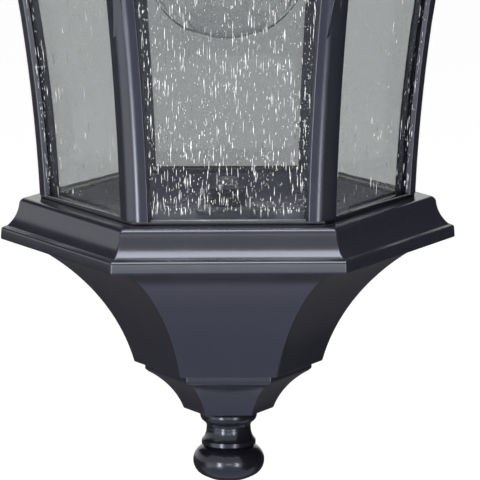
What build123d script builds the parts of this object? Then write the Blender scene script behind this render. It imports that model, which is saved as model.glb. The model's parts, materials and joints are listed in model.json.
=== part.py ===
from build123d import *
from math import atan2, cos, radians, sin, sqrt, tan
import os

# Outdoor wall lantern, millimetres, +Z up.  The wall is the plane Y = 0 and the lantern hangs on its
# -Y side.  The origin is the middle of the crossbar, on the wall.  Pieces of the lantern itself are
# drawn on the lantern's own axis, with Z = 0 at the underside of the base moulding, then moved out.

# Where the lantern hangs
PROJECTION = 138.0      # wall to the lantern's axis
DROP = 195.0            # crossbar's middle down to the base moulding's underside

# Hexagonal base moulding, pan and bowl.  A tip radius is measured to a corner of the hexagon.
BASE_TIP = 84.4
FASCIA_HEIGHT = 4.3
MOULDING_HEIGHT = 15.6
MOULDING_STEP = 8.1     # how far the ledge's tip lies inside the fascia's tip
MOULDING_SAG = 0.8
FASCIA_SHELF = 1.9      # flat step between the fascia and the cove
FASCIA_SHELF_RISE = 0.9
FASCIA_LEAN = 0.2
LEDGE_ROUND = 2.2       # rounding of the ledge's edge over the cove
EDGE_ROUND = 1.3
CHAMFER = 0.5           # small edges on turned pieces
CASTING = 2.8           # wall of the cast pieces
PAN_SHEET = 1.5
PAN_APOTHEM = 56.0
PAN_FLOOR = 9.8
SEAT_WIDTH = 3.0
BOWL_TIP = 75.3
BOWL_RIM = 1.2
BOWL_LAND = 2.5         # height of the casting's foot over the bowl's rim
BOWL_LAND_SLOPE = 1.5
HOLLOW_SLANT = 7.6      # narrowing of the hollow under the moulding
BOWL_DEPTH = 46.7
BOWL_FOOT_TIP = 35.2
BOWL_SAG = 6.1
CUP_TIP = 31.15
CUP_EDGE = 2.6
CUP_FOOT_TIP = 16.8
CUP_HEIGHT = 17.7
CUP_SAG = 1.7
CUP_WALL = 2.4
CUP_SHOULDER = 0.9

# Cage: corner posts that flare outwards as they rise, bent glass between them
CAGE_TIP = 70.9         # sharp corner of the posts' outer faces at the ledge
CAGE_SLOPE = 0.046
CAGE_BEND = 690.0       # radius of the flare
CAGE_HEIGHT = 158.0
RAIL_SHEET = 1.4
RAIL_WIDTH = 6.0
POST_FACET = 5.0
POST_FLANGE = 3.9
FLANGE_THICK = 2.0
LIP_THICK = 1.8
LIP_HALF = 3.8          # half the post's width behind the panes
STEM_HALF = 2.4
GLASS_THICK = 3.0
GLASS_PLAY = 0.2
TOP_RAIL_WIDTH = 8.5
TOP_RAIL_WALL = 2.4

# Roof
CORNICE_TIP = 111.0
CAGE_PLAY = 1.2         # room round the top rail inside the cornice
CORNICE_LAP = 2.5       # how far the cornice hangs below the posts' tops
CORNICE_FLANGE = 9.0    # inward flange over the top rail
CORNICE_FLANGE_THICK = 2.5
ROOF_EDGE = 3.0
ROOF_INSET = 1.5
ROOF_RISE = 58.0
ROOF_NECK_TIP = 22.0
ROOF_SAG = 10.0
NECK_RIM = 2.0
NECK_TOP = 5.8          # metal over the roof's hollow
CROWN_RADIUS = 20.0
CROWN_HEIGHT = 9.0
CROWN_BEAD = 2.6
CROWN_STEP = 2.0
HUB_RADIUS = 16.5
HUB_HEIGHT = 26.0
HUB_SHOULDER = 4.0
HUB_LIP = 2.0
HUB_BULGE = 0.8

# Arm and wall plate
ARM_RADIUS = 7.0
ARM_WALL = 2.2
ARM_STRAIGHT = 8.0
ARM_RISE = 55.0
ARM_SOCKET = 5.0        # length of arm inside the hub
FLANGE_RADIUS = 21.0
FLANGE_HEIGHT = 6.0
FLANGE_COLLAR = 2.5
FLANGE_SCREW_DEPTH = 3.0
PLATE_WIDTH = 114.0
PLATE_HEIGHT = 220.0
PLATE_DEPTH = 18.0
PLATE_RIM = 4.0
PLATE_STEP = 8.0
PLATE_SAG = 1.6
PLATE_WALL = 2.6
GASKET_THICK = 1.6
GASKET_WIDTH = 7.0
BUSHING_WALL = 1.2
BUSHING_LENGTH = 5.0

# Crossbar
BOX_SPACING = 88.9
SLOT_LENGTH = 14.0
SLOT_WIDTH = 4.6
STUD_SPACING = 128.0
CROSSBAR_WIDTH = 24.0
CROSSBAR_LENGTH = 146.0
CROSSBAR_SHEET = 2.5
CENTRE_HOLE = 5.0

# Lamp and lampholder
LAMP_RADIUS = 30.0
LAMP_LENGTH = 107.0
LAMP_TIP = 74.0
LAMP_WALL = 0.8
LAMP_SHOULDER = 38.0    # degrees above the round end's middle where the neck begins
LAMP_NECK_SAG = 1.6
STEM_RADIUS = 2.2
STEM_BUTTON = 3.2
STEM_FLARE = 12.0       # length of the flared glass under the cap
STEM_END = 12.0         # stem's end above the round end's middle
FILAMENT_SPREAD = 13.0
FILAMENT_WAVE = 4.0
LEAD_RADIUS = 0.3
CAP_RADIUS = 13.0
CAP_LENGTH = 24.0
CAP_SHEET = 0.6
CAP_OVERLAP = 6.0       # lamp glass inside the cap
CONTACT_RADIUS = 4.0
CONTACT_HEIGHT = 0.8
INSULATOR_RADIUS = 6.5
INSULATOR_HEIGHT = 3.0
HOLDER_RADIUS = 19.5
HOLDER_LENGTH = 38.0
HOLDER_CAP_HEIGHT = 9.0
HOLDER_CAP_NECK = 4.0   # depth of the thread in its top
HOLDER_CAP_SHEET = 1.2
HOLDER_OVER_LAMP = 7.0
HOLDER_FLOOR = 4.5
HOLDER_GROOVE_AT = 6.0
SHELL_PLAY = 0.4
SHELL_SHEET = 0.6

# Rods, screws and nuts
ROD_RADIUS = 4.0
ROD_ABOVE_NUT = 3.5
NUT_FLATS = 13.0
NUT_HEIGHT = 6.5
WASHER_RADIUS = 11.5
WASHER_THICK = 1.6
STRAP_WIDTH = 9.0
STRAP_THICK = 1.5
STRAP_LONG_END = 17.7
STRAP_SHORT_END = 7.0
STRAP_CORNER = 2.0
PIPE_RADIUS = 4.8
PIPE_BORE = 3.3
LOCKNUT_FLATS = 14.0
LOCKNUT_HEIGHT = 3.0
STUD_RADIUS = 2.1
STUD_REACH = 7.0        # stud beyond the wall plate's face
STUD_NUT_FLATS = 8.0
STUD_NUT_HEIGHT = 3.2
CAP_NUT_RADIUS = 6.5
CAP_NUT_HEIGHT = 11.0
THUMB_RADIUS = 2.5
THUMB_HEAD_RADIUS = 6.0
THUMB_HEAD_LENGTH = 5.0
THUMB_NECK = 2.0
KNURL = 0.5
KNURL_COUNT = 18
FOOT_SCREW = 1.25
FOOT_SCREW_INSET = 3.9  # behind the posts' sharp corner
FOOT_SCREW_DEPTH = 12.0
CORNICE_SCREW = 1.5
SCREW_HEAD_HEIGHT = 1.9
PAN_HEAD = 1.9          # screw head's radius over its shank's
RUNNING_FIT = 0.05
BORE_PLAY = 0.05        # round screws and rods in pieces that they are fixed to
GAP = 0.3               # between pieces that move apart

# Turned finial, measured from its seat
FINIAL_COLLAR = 10.6
FINIAL_COLLAR_HEIGHT = 4.6
FINIAL_COLLAR_BULGE = 1.2
FINIAL_NECK = 8.3
FINIAL_NECK_AT = 7.4
FINIAL_RING = 10.1
FINIAL_RING_AT = 11.8
FINIAL_RING_HEIGHT = 1.5
FINIAL_GROOVE = 0.7
FINIAL_BALL = 13.3
FINIAL_BALL_HALF = 8.2
FINIAL_LENGTH = 27.7
FINIAL_BORE_DEPTH = 21.0

COS30 = cos(radians(30))
DOME_SAG = 1 - cos(radians(45))
REACH = 2 * (PROJECTION + CORNICE_TIP)  # longer than any piece, for cutting blocks

# Levels on the lantern's axis
LEDGE = MOULDING_HEIGHT
POST_BOTTOM = LEDGE + RAIL_SHEET
POST_TOP = POST_BOTTOM + CAGE_HEIGHT
CORNICE_BOTTOM = POST_TOP - CORNICE_LAP
CORNICE_TOP = CORNICE_BOTTOM + MOULDING_HEIGHT
TOP_RAIL_TOP = CORNICE_TOP - CORNICE_FLANGE_THICK - SCREW_HEAD_HEIGHT - GAP
THUMB_LEVEL = (POST_TOP + RAIL_SHEET + TOP_RAIL_TOP) / 2
ROOF_TOP = CORNICE_TOP + ROOF_RISE
CROWN_TOP = ROOF_TOP + CROWN_HEIGHT
HUB_TOP = CROWN_TOP + HUB_HEIGHT
HUB_MIDDLE = CROWN_TOP + HUB_HEIGHT / 2
FINIAL_SEAT = -BOWL_DEPTH - CUP_HEIGHT
LAMP_TOP = LAMP_TIP + LAMP_LENGTH
HOLDER_TOP = LAMP_TOP + HOLDER_OVER_LAMP
HOLDER_BOTTOM = HOLDER_TOP - HOLDER_LENGTH
PLATE_FACE = GASKET_THICK + PLATE_DEPTH


def path(*steps):
    """Edges from the first step to the last: (x, z) ends a straight run, (x, z, sagitta) an arc."""
    edges = []
    for before, after in zip(steps, steps[1:]):
        if len(after) == 3:
            edges.append(SagittaArc(before[:2], after[:2], after[2]))
        else:
            edges.append(Line(before[:2], after))
    return edges


def outline_face(*steps):
    """Closed face inside a path that runs back to its own start."""
    return make_face(path(*steps, steps[0][:2]))


def hexagonal(*steps):
    """Solid hexagon of changing size: steps give (apothem, height), from the axis back to the axis."""
    right = path(*steps)
    left = [edge.mirror(Plane.YZ) for edge in right]
    section = Plane.YZ * make_face(right + left)
    slab = extrude(section, amount=REACH / 2, both=True)
    return slab & slab.rotate(Axis.Z, 60) & slab.rotate(Axis.Z, 120)


def turned(*steps):
    """Solid of revolution about Z: steps give (radius, height) round a closed outline."""
    return revolve(Plane.XZ * outline_face(*steps), Axis.Z)


def pole_arc(start, height):
    """Arc from a point to the axis, level where it meets the axis."""
    chord = sqrt(start[0] ** 2 + (start[1] - height) ** 2)
    radius = chord ** 2 / (2 * abs(start[1] - height))
    sagitta = radius - sqrt(radius ** 2 - chord ** 2 / 4)
    return SagittaArc(start, (0, height), -sagitta if start[1] < height else sagitta)


def cylinder_between(radius, low, high):
    return Pos(0, 0, (low + high) / 2) * Cylinder(radius, high - low)


def tube_between(radius, bore, low, high):
    return cylinder_between(radius, low, high) - cylinder_between(bore, low - 1, high + 1)


def hex_between(flats, low, high):
    """Upright hexagonal prism, with its flats facing +Y and -Y."""
    prism = extrude(RegularPolygon(flats / 2, 6, major_radius=False), amount=high - low)
    return Pos(0, 0, low) * prism.rotate(Axis.Z, 30)


def box_between(low, high):
    size = [b - a for a, b in zip(low, high)]
    middle = [(a + b) / 2 for a, b in zip(low, high)]
    return Pos(*middle) * Box(*size)


def pan_screw(shank, length):
    """Screw along Z: its seat is Z = 0, the head above it and the shank below."""
    head = PAN_HEAD * shank
    top = SCREW_HEAD_HEIGHT
    crown = turned((0, 0), (head, 0), (head, top * 0.4), (head * 0.7, top, -head * 0.12), (0, top))
    slot = box_between((-head, -head * 0.12, top * 0.55), (head, head * 0.12, top + 1))
    return (crown - slot) + cylinder_between(shank, -length, 0)


# ---- Mouldings shared by the base and the roof's cornice ----------------------------------------

def moulding(tip, level, up):
    """Ogee moulding as a filled hexagon: fascia with this tip radius at this level, narrowing up or down."""
    fascia = tip * COS30
    ledge = (tip - MOULDING_STEP) * COS30
    cove_top = MOULDING_HEIGHT - LEDGE_ROUND
    cove_foot = FASCIA_HEIGHT + FASCIA_SHELF_RISE
    heights = [0, FASCIA_HEIGHT, cove_foot, cove_top, MOULDING_HEIGHT]
    a, b, foot, c, d = [level + up * height for height in heights]
    edge = fascia - FASCIA_LEAN
    shoulder = ledge + LEDGE_ROUND * 0.45
    steps = [(0, a), (fascia, a), (edge, b), (edge - FASCIA_SHELF, foot), (shoulder, c, MOULDING_SAG * up),
             (ledge - LEDGE_ROUND * 0.5, d, LEDGE_ROUND * -0.25 * up), (0, d)]
    return hexagonal(*steps)


def base_moulding():
    """Inverted channel: ogee outside, ledge on top, an inner wall with a seat for pan and bowl."""
    inner = PAN_APOTHEM
    outer = BASE_TIP * COS30 - CASTING
    under = LEDGE - CASTING
    seat = PAN_FLOOR - PAN_SHEET
    foot = BOWL_TIP * COS30 - BOWL_RIM
    solid = moulding(BASE_TIP, 0, 1)
    solid -= hexagonal((0, seat), (inner, seat), (inner, LEDGE + 1), (0, LEDGE + 1))
    solid -= hexagonal((0, -1), (inner - SEAT_WIDTH, -1), (inner - SEAT_WIDTH, seat + 1), (0, seat + 1))
    channel = hexagonal((0, -1), (outer, -1), (outer, CASTING), (outer - HOLLOW_SLANT, under), (0, under))
    wall = inner + CASTING
    channel -= hexagonal((0, -2), (foot, -2), (foot, BOWL_LAND), (wall, BOWL_LAND + BOWL_LAND_SLOPE),
                         (wall, under + 1), (0, under + 1))
    solid -= channel
    for k in range(6):
        solid -= foot_screw_place(k) * cylinder_between(FOOT_SCREW + BORE_PLAY, -6, 6)
        solid -= foot_screw_place(k) * cylinder_between(PAN_HEAD * FOOT_SCREW + GAP, 0, LEDGE)
    return solid


def base_pan():
    """Sheet floor inside the base moulding, its edge turned up to the ledge."""
    outer = PAN_APOTHEM
    inner = outer - PAN_SHEET
    floor = PAN_FLOOR
    under = floor - PAN_SHEET
    solid = hexagonal((0, under), (outer, under), (outer, LEDGE), (0, LEDGE))
    solid -= hexagonal((0, floor), (inner, floor), (inner, LEDGE + 1), (0, LEDGE + 1))
    return solid - cylinder_between(ROD_RADIUS + BORE_PLAY, under - 1, floor + 1)


def bowl():
    rim = BOWL_TIP * COS30
    foot = BOWL_FOOT_TIP * COS30
    wall = CASTING
    solid = hexagonal((0, 0), (rim, 0), (rim, -BOWL_RIM), (foot, -BOWL_DEPTH, -BOWL_SAG), (0, -BOWL_DEPTH))
    floor = wall - BOWL_DEPTH
    solid -= hexagonal((0, 5), (rim - wall, 5), (rim - wall, wall - BOWL_RIM),
                       (foot - wall, floor, -BOWL_SAG), (0, floor))
    return solid - cylinder_between(ROD_RADIUS + BORE_PLAY, -BOWL_DEPTH - 1, floor + 1)


def cup():
    top = -BOWL_DEPTH
    edge = CUP_TIP * COS30
    foot = CUP_FOOT_TIP * COS30
    wall = CUP_WALL
    shoulder = (edge - CUP_SHOULDER, top - CUP_EDGE - CUP_SHOULDER)
    solid = hexagonal((0, top), (edge, top), (edge, top - CUP_EDGE), shoulder,
                      (foot, FINIAL_SEAT, -CUP_SAG), (0, FINIAL_SEAT))
    solid -= hexagonal((0, top + 1), (shoulder[0] - wall, top + 1), (shoulder[0] - wall, shoulder[1] + wall),
                       (foot - wall, FINIAL_SEAT + wall, -CUP_SAG), (0, FINIAL_SEAT + wall))
    return solid - cylinder_between(ROD_RADIUS + BORE_PLAY, FINIAL_SEAT - 1, top)


def finial(seat, down, bore):
    """Collar, neck, ring and flattened ball, bored from its seat; down is 1 below the seat, -1 above."""
    collar = FINIAL_COLLAR - FINIAL_COLLAR_BULGE
    ball_middle = FINIAL_LENGTH - FINIAL_BALL_HALF
    ring_end = FINIAL_RING_AT + FINIAL_RING_HEIGHT
    groove = FINIAL_RING - FINIAL_GROOVE

    def oval(degrees):
        turn = radians(degrees)
        return FINIAL_BALL * cos(turn), FINIAL_BALL_HALF * sin(turn) - ball_middle

    meet = oval(40)
    edges = path((0, 0), (collar, 0), (collar, -FINIAL_COLLAR_HEIGHT, FINIAL_COLLAR_BULGE),
                 (FINIAL_NECK + CHAMFER, -FINIAL_COLLAR_HEIGHT - CHAMFER),
                 (FINIAL_NECK, -FINIAL_NECK_AT, -CHAMFER * 0.6), (FINIAL_RING, -FINIAL_RING_AT, -CHAMFER),
                 (FINIAL_RING, -ring_end), (groove, -ring_end - CHAMFER), meet)
    edges += [ThreePointArc(meet, oval(0), oval(-45)), pole_arc(oval(-45), -FINIAL_LENGTH)]
    edges.append(Line((0, -FINIAL_LENGTH), (0, 0)))
    solid = revolve(Plane.XZ * make_face(edges), Axis.Z)
    solid -= cylinder_between(bore, -FINIAL_BORE_DEPTH, 1)
    if down < 0:
        solid = solid.rotate(Axis.X, 180)
    return Pos(0, 0, seat) * solid


def tie_rod():
    top = nut_seat() + NUT_HEIGHT + ROD_ABOVE_NUT
    bottom = FINIAL_SEAT - FINIAL_BORE_DEPTH + GAP
    return chamfer(cylinder_between(ROD_RADIUS, bottom, top).edges(), CHAMFER)


def nut_seat():
    return PAN_FLOOR + WASHER_THICK + STRAP_THICK


def hex_nut():
    low = nut_seat()
    high = low + NUT_HEIGHT
    flats = NUT_FLATS / 2
    corner = NUT_FLATS * 0.585
    turn_in = corner - flats
    nut = hex_between(NUT_FLATS, low, high)
    cone = turned((0, low), (flats, low), (corner, low + turn_in), (corner, high - turn_in),
                  (flats, high), (0, high))
    return (nut & cone) - cylinder_between(ROD_RADIUS + BORE_PLAY, low - 1, high + 1)


def fender_washer():
    return tube_between(WASHER_RADIUS, ROD_RADIUS + BORE_PLAY, PAN_FLOOR, PAN_FLOOR + WASHER_THICK)


def lock_strap():
    low = PAN_FLOOR + WASHER_THICK
    high = low + STRAP_THICK
    half = STRAP_WIDTH / 2
    bar = box_between((-STRAP_SHORT_END, -half, low), (STRAP_LONG_END, half, high))
    bar = fillet(bar.edges().filter_by(Axis.Z), STRAP_CORNER)
    return bar - cylinder_between(ROD_RADIUS + BORE_PLAY, low - 1, high + 1)


# ---- Cage ---------------------------------------------------------------------------------------

def flare(level):
    """Tip radius of the posts' outer faces at a height above the base moulding's underside."""
    rise = level - LEDGE
    return CAGE_TIP + CAGE_SLOPE * rise + rise ** 2 / (2 * CAGE_BEND)


def flare_edge(scale, inset, low, high):
    """The flare between two levels as one exact parabola, scaled and moved inwards."""
    middle = (low + high) / 2
    slope = CAGE_SLOPE + (low - LEDGE) / CAGE_BEND
    bend = flare(low) + slope * (middle - low)
    points = [(flare(low), low), (bend, middle), (flare(high), high)]
    return Bezier(*[(radius * scale - inset, level) for radius, level in points])


def flared_slab(scale, outer, inner, low, high):
    """Bent slab facing +Y between two insets from the flare; with inner None it is filled behind."""
    front = flare_edge(scale, outer, low, high)
    if inner is None:
        back = Line((PAN_APOTHEM / 2, low), (PAN_APOTHEM / 2, high))
    else:
        back = flare_edge(scale, inner, low, high)
    rim = [Line(front @ 0, back @ 0), Line(front @ 1, back @ 1)]
    return extrude(Plane.YZ * make_face([front, back] + rim), amount=REACH / 4, both=True)


def corner_post(k):
    """Post at corner k: three facets outside, a stem between the panes and two lips behind them."""
    low, high = POST_BOTTOM, POST_TOP
    facet_cut = POST_FACET / 2 * tan(radians(30))
    half = POST_FACET / 2 + POST_FLANGE * COS30
    lip_front = FLANGE_THICK + GLASS_THICK + 2 * GLASS_PLAY
    lip_back = lip_front + LIP_THICK
    post = flared_slab(1, facet_cut, None, low, high)
    post &= box_between((-half, 0, low - 1), (half, REACH, high + 1))
    core = None
    for side in (1, -1):
        post &= flared_slab(COS30, 0, None, low, high).rotate(Axis.Z, -30 * side)
        behind = flared_slab(COS30, lip_back, None, low - 1, high + 1).rotate(Axis.Z, -30 * side)
        core = behind if core is None else core & behind
    post -= core
    for side in (1, -1):
        for depth, width in ((lip_front, STEM_HALF), (None, LIP_HALF)):
            room = flared_slab(COS30, FLANGE_THICK, depth, low - 1, high + 1).rotate(Axis.Z, -30 * side)
            edges = sorted([side * width, side * REACH])
            post -= room & box_between((edges[0], 0, low - 2), (edges[1], REACH, high + 2))
    hole = cylinder_between(FOOT_SCREW + BORE_PLAY, 0, FOOT_SCREW_DEPTH)
    post -= Pos(0, foot_screw_radius(), low) * hole
    post -= Pos(0, head_screw_radius(), high) * Rot(180, 0, 0) * hole
    return post.rotate(Axis.Z, 60 * k - 90)


def foot_screw_radius():
    return flare(POST_BOTTOM + FOOT_SCREW_DEPTH / 2) - FOOT_SCREW_INSET


def head_screw_radius():
    return flare(POST_TOP - FOOT_SCREW_DEPTH / 2) - FOOT_SCREW_INSET


def foot_screw_place(k):
    """Seat of the foot screw at corner k, under the base moulding's ledge, head downwards."""
    spot = Pos(foot_screw_radius(), 0, LEDGE - CASTING) * Rot(180, 0, 0)
    return Rot(0, 0, 60 * k) * spot


def glass_pane(k):
    """Bent pane on side k, cut to slide between two posts' stems."""
    low, high = POST_BOTTOM, POST_TOP
    front = FLANGE_THICK + GLASS_PLAY
    slab = flared_slab(COS30, front, front + GLASS_THICK, low, high)
    apex = (STEM_HALF + GAP) / sin(radians(30))
    far = (REACH * sin(radians(30)), REACH * COS30 + apex)
    wedge = make_face(path((0, apex), far, (-far[0], far[1]), (0, apex)))
    pane = slab & (Pos(0, 0, low - 1) * extrude(wedge, amount=high - low + 2))
    return pane.rotate(Axis.Z, 60 * k - 60)


def bottom_rail():
    """Flat hexagonal ring on the ledge, under the posts and the glass."""
    outer = CAGE_TIP * COS30 - RAIL_SHEET
    inner = outer - RAIL_WIDTH
    solid = hexagonal((0, LEDGE), (outer, LEDGE), (outer, POST_BOTTOM), (0, POST_BOTTOM))
    solid -= hexagonal((0, LEDGE - 1), (inner, LEDGE - 1), (inner, POST_BOTTOM + 1), (0, POST_BOTTOM + 1))
    for k in range(6):
        solid -= foot_screw_place(k) * cylinder_between(FOOT_SCREW + BORE_PLAY, -FOOT_SCREW_DEPTH, 2)
    return solid


def foot_screws():
    length = CASTING + RAIL_SHEET + FOOT_SCREW_DEPTH - 1
    return [foot_screw_place(k) * pan_screw(FOOT_SCREW, length) for k in range(6)]


def top_rail_apothem():
    return flare(POST_TOP) * COS30


def top_rail():
    """Angle ring over the posts and panes; the thumb screws bear on its upright wall."""
    outer = top_rail_apothem()
    low, high = POST_TOP, TOP_RAIL_TOP
    floor = low + RAIL_SHEET
    inner = outer - TOP_RAIL_WIDTH
    wall = outer - TOP_RAIL_WALL
    solid = hexagonal((0, low), (outer, low), (outer, high), (0, high))
    solid -= hexagonal((0, low - 1), (inner, low - 1), (inner, high + 1), (0, high + 1))
    solid -= hexagonal((0, floor), (wall, floor), (wall, high + 1), (0, high + 1))
    for k in range(6):
        solid -= head_screw_place(k) * cylinder_between(FOOT_SCREW + BORE_PLAY, -RAIL_SHEET - 1, 1)
    return solid


def head_screw_place(k):
    return Rot(0, 0, 60 * k) * Pos(head_screw_radius(), 0, POST_TOP + RAIL_SHEET)


def head_screws():
    length = RAIL_SHEET + FOOT_SCREW_DEPTH - 1
    return [head_screw_place(k) * pan_screw(FOOT_SCREW, length) for k in range(6)]


# ---- Roof ---------------------------------------------------------------------------------------

def cornice_bore():
    return top_rail_apothem() + CAGE_PLAY


def roof_cornice():
    """Moulded ring that hangs round the top rail, with a threaded hole for each thumb screw."""
    bore = cornice_bore()
    solid = moulding(CORNICE_TIP, CORNICE_TOP, -1)
    under = CORNICE_TOP - CORNICE_FLANGE_THICK
    solid -= hexagonal((0, CORNICE_BOTTOM - 1), (bore, CORNICE_BOTTOM - 1), (bore, under),
                       (roof_opening(), under), (roof_opening(), CORNICE_TOP + 1), (0, CORNICE_TOP + 1))
    for k in range(3):
        solid -= thumb_place(k) * cylinder_between(THUMB_RADIUS + RUNNING_FIT, -1, REACH / 4)
    for k in range(6):
        solid -= cornice_screw_place(k) * cylinder_between(CORNICE_SCREW + BORE_PLAY, -REACH / 8, 1)
    return solid


def roof_opening():
    return cornice_bore() - CORNICE_FLANGE


def cornice_screw_place(k):
    """Seat of a screw that rises through the cornice's flange into the roof's rim at corner k."""
    radius = (cornice_bore() - CORNICE_FLANGE / 2) / COS30
    return Rot(0, 0, 60 * k) * Pos(radius, 0, CORNICE_TOP - CORNICE_FLANGE_THICK) * Rot(180, 0, 0)


def cornice_screws():
    length = CORNICE_FLANGE_THICK + ROOF_EDGE
    return [cornice_screw_place(k) * pan_screw(CORNICE_SCREW, length - GAP) for k in range(6)]


def roof():
    """Concave hexagonal roof with a thick rim and a closed neck."""
    eave = CORNICE_TIP * COS30 - ROOF_INSET
    neck = ROOF_NECK_TIP * COS30
    wall = CASTING
    low, high = CORNICE_TOP, ROOF_TOP
    ceiling = high - NECK_TOP
    solid = hexagonal((0, low), (eave, low), (eave, low + ROOF_EDGE), (neck, high - NECK_RIM, ROOF_SAG),
                      (neck, high), (0, high))
    solid -= hexagonal((0, low - 1), (roof_opening(), low - 1), (roof_opening(), low + ROOF_EDGE),
                       (neck - wall / 2, ceiling, ROOF_SAG), (0, ceiling))
    solid -= cylinder_between(PIPE_RADIUS + BORE_PLAY, low, high + 1)
    for k in range(6):
        depth = CORNICE_FLANGE_THICK + ROOF_EDGE
        solid -= cornice_screw_place(k) * cylinder_between(CORNICE_SCREW + BORE_PLAY, -depth, 1)
    return solid


def thumb_place(k):
    """Thumb screw k on its own axis: Z = 0 at the top rail's wall, Z outwards through the cornice."""
    turn = Rot(0, 0, 30 + 120 * k)
    return turn * Pos(top_rail_apothem() + GAP, 0, THUMB_LEVEL) * Rot(0, 90, 0)


def thumb_screw(k):
    head_low = CORNICE_TIP * COS30 - top_rail_apothem() - GAP + THUMB_NECK
    head_high = head_low + THUMB_HEAD_LENGTH
    radius = THUMB_HEAD_RADIUS
    collar = radius * 0.6
    screw = turned((0, 0), (THUMB_RADIUS - CHAMFER, 0), (THUMB_RADIUS, CHAMFER),
                   (THUMB_RADIUS, head_low - THUMB_NECK), (collar, head_low - THUMB_NECK + CHAMFER),
                   (collar, head_low), (radius - CHAMFER, head_low), (radius, head_low + CHAMFER),
                   (radius, head_high - CHAMFER), (radius - CHAMFER, head_high), (0, head_high))
    groove = Pos(radius + KNURL / 2, 0, 0) * cylinder_between(KNURL, head_low - 1, head_high + 1)
    for step in range(KNURL_COUNT):
        screw -= Rot(0, 0, 360 / KNURL_COUNT * step) * groove
    return thumb_place(k) * screw


def roof_crown():
    radius = CROWN_RADIUS
    low, high = ROOF_TOP, CROWN_TOP
    edge = radius - CROWN_BEAD / 2
    crown = turned((0, low), (edge, low), (edge, low + CROWN_BEAD, -CROWN_BEAD / 2),
                   (edge - CROWN_STEP, low + CROWN_BEAD + CHAMFER),
                   (HUB_RADIUS - HUB_SHOULDER, high, CROWN_STEP), (0, high))
    return crown - cylinder_between(PIPE_RADIUS + BORE_PLAY, low - 1, high + 1)


def arm_hub():
    """Turned hub over the crown; the arm enters its wall side."""
    radius = HUB_RADIUS
    low, high = CROWN_TOP, HUB_TOP
    neck = radius - HUB_SHOULDER
    body = HUB_LIP + 3 * HUB_LIP / 2
    hub = turned((0, low), (neck, low), (neck, low + HUB_LIP), (radius, low + body, -HUB_BULGE),
                 (radius, high - body), (neck, high - HUB_LIP, -HUB_BULGE), (neck, high), (0, high))
    hub -= cylinder_between(PIPE_RADIUS + BORE_PLAY, low - 1, high + 1)
    inward = Pos(0, 0, HUB_MIDDLE) * Rot(-90, 0, 0)
    hub -= inward * cylinder_between(ARM_RADIUS + BORE_PLAY, arm_end(), REACH / 4)
    return hub - inward * cylinder_between(ARM_RADIUS - ARM_WALL, 0, REACH / 4)


def arm_end():
    """Distance of the arm's end from the lantern's axis."""
    return sqrt(HUB_RADIUS ** 2 - ARM_RADIUS ** 2) - ARM_SOCKET


# ---- Arm and wall plate, in the wall's own frame ------------------------------------------------

def arm_route():
    """Swan neck from the wall plate up to the hub: straight, two equal arcs, straight."""
    hub_level = HUB_MIDDLE - DROP
    start = hub_level - ARM_RISE
    first = PLATE_FACE + FLANGE_HEIGHT + ARM_STRAIGHT
    last = PROJECTION - HUB_RADIUS - HUB_LIP
    run = last - first
    turn = 2 * atan2(ARM_RISE, run)
    sag = run / (2 * sin(turn)) * (1 - cos(turn / 2))
    middle = ((first + last) / 2, (start + hub_level) / 2)
    edges = path((PLATE_FACE, start), (first, start), (middle[0], middle[1], -sag),
                 (last, hub_level, sag), (PROJECTION - arm_end(), hub_level))
    return Plane.YZ * Wire(edges).mirror(Plane.YZ), start


def arm():
    route, start = arm_route()
    seat = Plane(origin=route @ 0, z_dir=route % 0)
    outside = sweep(seat * Circle(ARM_RADIUS), path=route)
    inside = sweep(seat * Circle(ARM_RADIUS - ARM_WALL), path=route)
    return outside - inside


def arm_seat():
    """Turns a piece drawn along Z so that it stands out of the wall plate's face, round the arm."""
    start = HUB_MIDDLE - DROP - ARM_RISE
    return Pos(0, -PLATE_FACE, start) * Rot(90, 0, 0)


def arm_flange():
    radius = FLANGE_RADIUS
    bore = ARM_RADIUS + BORE_PLAY
    rim = FLANGE_HEIGHT * 0.3
    collar = ARM_RADIUS + FLANGE_COLLAR
    flange = turned((bore, 0), (radius, 0), (radius, rim), (radius - rim * 0.7, rim * 1.5, -rim * 0.17),
                    (collar + rim * 0.8, FLANGE_HEIGHT - rim * 0.6, rim * 0.7),
                    (collar, FLANGE_HEIGHT, -rim * 0.17), (bore, FLANGE_HEIGHT))
    for side in (1, -1):
        flange -= Pos(side * flange_screw_offset(), 0, 0) * cylinder_between(
            CORNICE_SCREW + BORE_PLAY, -1, FLANGE_SCREW_DEPTH)
    return arm_seat() * flange


def flange_screw_offset():
    """Middle of the flange's solid ring round the arm."""
    return (ARM_RADIUS + FLANGE_RADIUS) / 2


def flange_screws():
    """Two screws from inside the wall plate into the arm's flange."""
    screw = Rot(180, 0, 0) * pan_screw(CORNICE_SCREW, PLATE_WALL + FLANGE_SCREW_DEPTH - GAP)
    return [arm_seat() * Pos(side * flange_screw_offset(), 0, -PLATE_WALL) * screw for side in (1, -1)]


def wire_bushing():
    """Plastic bushing in the arm's inlet, its collar behind the wall plate's face."""
    outer = ARM_RADIUS - ARM_WALL - BORE_PLAY
    bore = outer - BUSHING_WALL
    collar = outer + 2 * BUSHING_WALL
    back = -PLATE_WALL - BUSHING_WALL
    bushing = turned((bore, back), (collar, back), (collar, -PLATE_WALL), (outer, -PLATE_WALL),
                     (outer, BUSHING_LENGTH), (bore, BUSHING_LENGTH))
    return arm_seat() * bushing


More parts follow.
